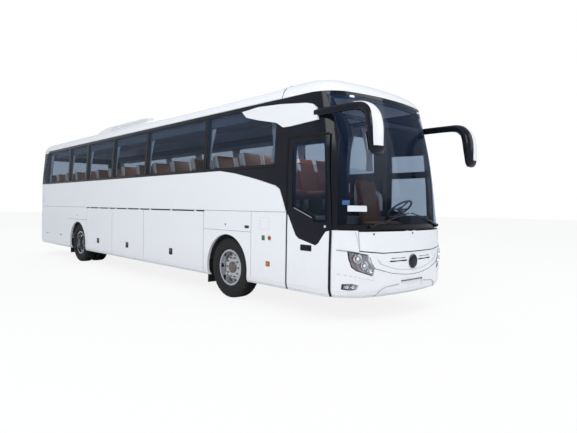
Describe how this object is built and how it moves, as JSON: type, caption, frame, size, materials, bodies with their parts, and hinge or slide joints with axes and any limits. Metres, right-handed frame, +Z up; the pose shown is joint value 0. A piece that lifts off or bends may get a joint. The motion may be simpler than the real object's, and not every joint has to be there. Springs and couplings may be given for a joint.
{
  "type": "coach bus",
  "caption": "White two-axle touring coach with a raised luggage hold, tinted window band, swing-out entrance door and lifting side flaps.",
  "frame": {"origin": "on the ground under the middle of the overall box, mirrors included", "axes": "+X forward (direction of travel), +Y to the vehicle's left, +Z up"},
  "size_m": [13.4248, 2.726, 3.665],
  "materials": {
    "body_white": "gloss",
    "roof_white": "gloss",
    "tinted_glass": "gloss",
    "black_trim": "gloss",
    "frame_black": "satin",
    "tyre_rubber": "matte",
    "wheel_metal": "satin",
    "axle_iron": "matte",
    "seat_leather": "satin",
    "grey_plastic": "matte",
    "curtain_cloth": "matte",
    "lamp_clear": "gloss",
    "lamp_red": "gloss",
    "mirror_silver": "polished",
    "engine_iron": "matte"
  },
  "bodies": {
    "coach": {"air_conditioner": "roof_white", "belt_panels": "body_white", "body_glass": "tinted_glass", "cab_floor": "grey_plastic", "cab_frame": "black_trim", "corner_panels": "black_trim", "curtains": "curtain_cloth", "dashboard": "grey_plastic", "driver_seat": "seat_leather", "engine": "engine_iron", "front_axle": "axle_iron", "front_bumper": "body_white", "front_lamps": "lamp_clear", "front_quarters": "body_white", "luggage_hold": "grey_plastic", "mirror_glasses": "mirror_silver", "mirror_mouldings": "body_white", "mirrors": "black_trim", "mud_flaps": "tyre_rubber", "rear_axle": "axle_iron", "rear_bumper": "body_white", "rear_quarters": "body_white", "rear_wall": "body_white", "roof": "roof_white", "roof_front": "roof_white", "saloon_fittings": "grey_plastic", "saloon_floor": "grey_plastic", "seat_backs": "seat_leather", "seat_cushions": "seat_leather", "seat_legs": "frame_black", "seat_pans": "frame_black", "side_frames": "frame_black", "steering_wheel": "grey_plastic", "subframes": "frame_black", "tail_lamps": "lamp_red", "windscreen": "tinted_glass", "wipers": "black_trim"},
    "front_knuckle_right": {"knuckle_right": "axle_iron"},
    "front_knuckle_left": {"knuckle_left": "axle_iron"},
    "front_wheel_right": {"front_tyre_right": "tyre_rubber", "front_wheel_right": "wheel_metal"},
    "front_wheel_left": {"front_tyre_left": "tyre_rubber", "front_wheel_left": "wheel_metal"},
    "rear_wheels_right": {"rear_tyres_right": "tyre_rubber", "rear_wheels_right": "wheel_metal"},
    "rear_wheels_left": {"rear_tyres_left": "tyre_rubber", "rear_wheels_left": "wheel_metal"},
    "door_arm": {"door_arm": "frame_black"},
    "entrance_door": {"door_leaf": "body_white", "door_glass": "tinted_glass"},
    "front_flap": {"front_flap": "body_white"},
    "engine_hatch": {"engine_hatch": "body_white"},
    "roof_hatch_front": {"roof_hatch_front": "roof_white"},
    "roof_hatch_rear": {"roof_hatch_rear": "roof_white"},
    "luggage_flap_right_1": {"luggage_flap_right_1": "body_white"},
    "luggage_flap_right_2": {"luggage_flap_right_2": "body_white"},
    "luggage_flap_right_3": {"luggage_flap_right_3": "body_white"},
    "luggage_flap_left_1": {"luggage_flap_left_1": "body_white"},
    "luggage_flap_left_2": {"luggage_flap_left_2": "body_white"},
    "luggage_flap_left_3": {"luggage_flap_left_3": "body_white"}
  },
  "joints": [
    {"name": "steer_right", "type": "hinge", "parent": "coach", "child": "front_knuckle_right", "pos_m": [3.5575, -0.905, 0.52], "axis": [0, 0, 1], "range_deg": [-32, 32]},
    {"name": "steer_left", "type": "hinge", "parent": "coach", "child": "front_knuckle_left", "pos_m": [3.5575, 0.905, 0.52], "axis": [0, 0, 1], "range_deg": [-32, 32]},
    {"name": "spin_front_right", "type": "hinge", "parent": "front_knuckle_right", "child": "front_wheel_right", "pos_m": [3.5575, -1.072, 0.52], "axis": [0, 1, 0], "continuous": true},
    {"name": "spin_front_left", "type": "hinge", "parent": "front_knuckle_left", "child": "front_wheel_left", "pos_m": [3.5575, 1.072, 0.52], "axis": [0, 1, 0], "continuous": true},
    {"name": "spin_rear_right", "type": "hinge", "parent": "coach", "child": "rear_wheels_right", "pos_m": [-3.3525, -1.072, 0.52], "axis": [0, 1, 0], "continuous": true},
    {"name": "spin_rear_left", "type": "hinge", "parent": "coach", "child": "rear_wheels_left", "pos_m": [-3.3525, 1.072, 0.52], "axis": [0, 1, 0], "continuous": true},
    {"name": "door_arm_turn", "type": "hinge", "parent": "coach", "child": "door_arm", "pos_m": [5.8625, -1.145, 0.9], "axis": [0, 0, 1], "range_deg": [0, 130]},
    {"name": "door_leaf_turn", "type": "hinge", "parent": "door_arm", "child": "entrance_door", "pos_m": [5.4425, -1.145, 0.9], "axis": [0, 0, 1], "range_deg": [-130, 0]},
    {"name": "luggage_flap_right_1_lift", "type": "hinge", "parent": "coach", "child": "luggage_flap_right_1", "pos_m": [1.6915, -1.265, 1.48], "axis": [-1, 0, 0], "range_deg": [0, 88]},
    {"name": "luggage_flap_right_2_lift", "type": "hinge", "parent": "coach", "child": "luggage_flap_right_2", "pos_m": [-0.2875, -1.265, 1.48], "axis": [-1, 0, 0], "range_deg": [0, 88]},
    {"name": "luggage_flap_right_3_lift", "type": "hinge", "parent": "coach", "child": "luggage_flap_right_3", "pos_m": [-1.8925, -1.265, 1.48], "axis": [-1, 0, 0], "range_deg": [0, 88]},
    {"name": "luggage_flap_left_1_lift", "type": "hinge", "parent": "coach", "child": "luggage_flap_left_1", "pos_m": [1.6915, 1.265, 1.48], "axis": [1, 0, 0], "range_deg": [0, 88]},
    {"name": "luggage_flap_left_2_lift", "type": "hinge", "parent": "coach", "child": "luggage_flap_left_2", "pos_m": [-0.2875, 1.265, 1.48], "axis": [1, 0, 0], "range_deg": [0, 88]},
    {"name": "luggage_flap_left_3_lift", "type": "hinge", "parent": "coach", "child": "luggage_flap_left_3", "pos_m": [-1.8925, 1.265, 1.48], "axis": [1, 0, 0], "range_deg": [0, 88]},
    {"name": "front_flap_lift", "type": "hinge", "parent": "coach", "child": "front_flap", "pos_m": [6.3505, 0, 1.258], "axis": [0, -1, 0], "range_deg": [0, 75]},
    {"name": "engine_hatch_lift", "type": "hinge", "parent": "coach", "child": "engine_hatch", "pos_m": [-6.6765, 0, 1.604], "axis": [0, 1, 0], "range_deg": [0, 75]},
    {"name": "roof_hatch_front_lift", "type": "hinge", "parent": "coach", "child": "roof_hatch_front", "pos_m": [1.9025, 0, 3.452], "axis": [0, -1, 0], "range_deg": [0, 40]},
    {"name": "roof_hatch_rear_lift", "type": "hinge", "parent": "coach", "child": "roof_hatch_rear", "pos_m": [-4.7975, 0, 3.452], "axis": [0, -1, 0], "range_deg": [0, 40]}
  ],
  "couplings": [
    {"joint": "steer_left", "follows": "steer_right", "ratio": 1},
    {"joint": "door_leaf_turn", "follows": "door_arm_turn", "ratio": -1}
  ]
}
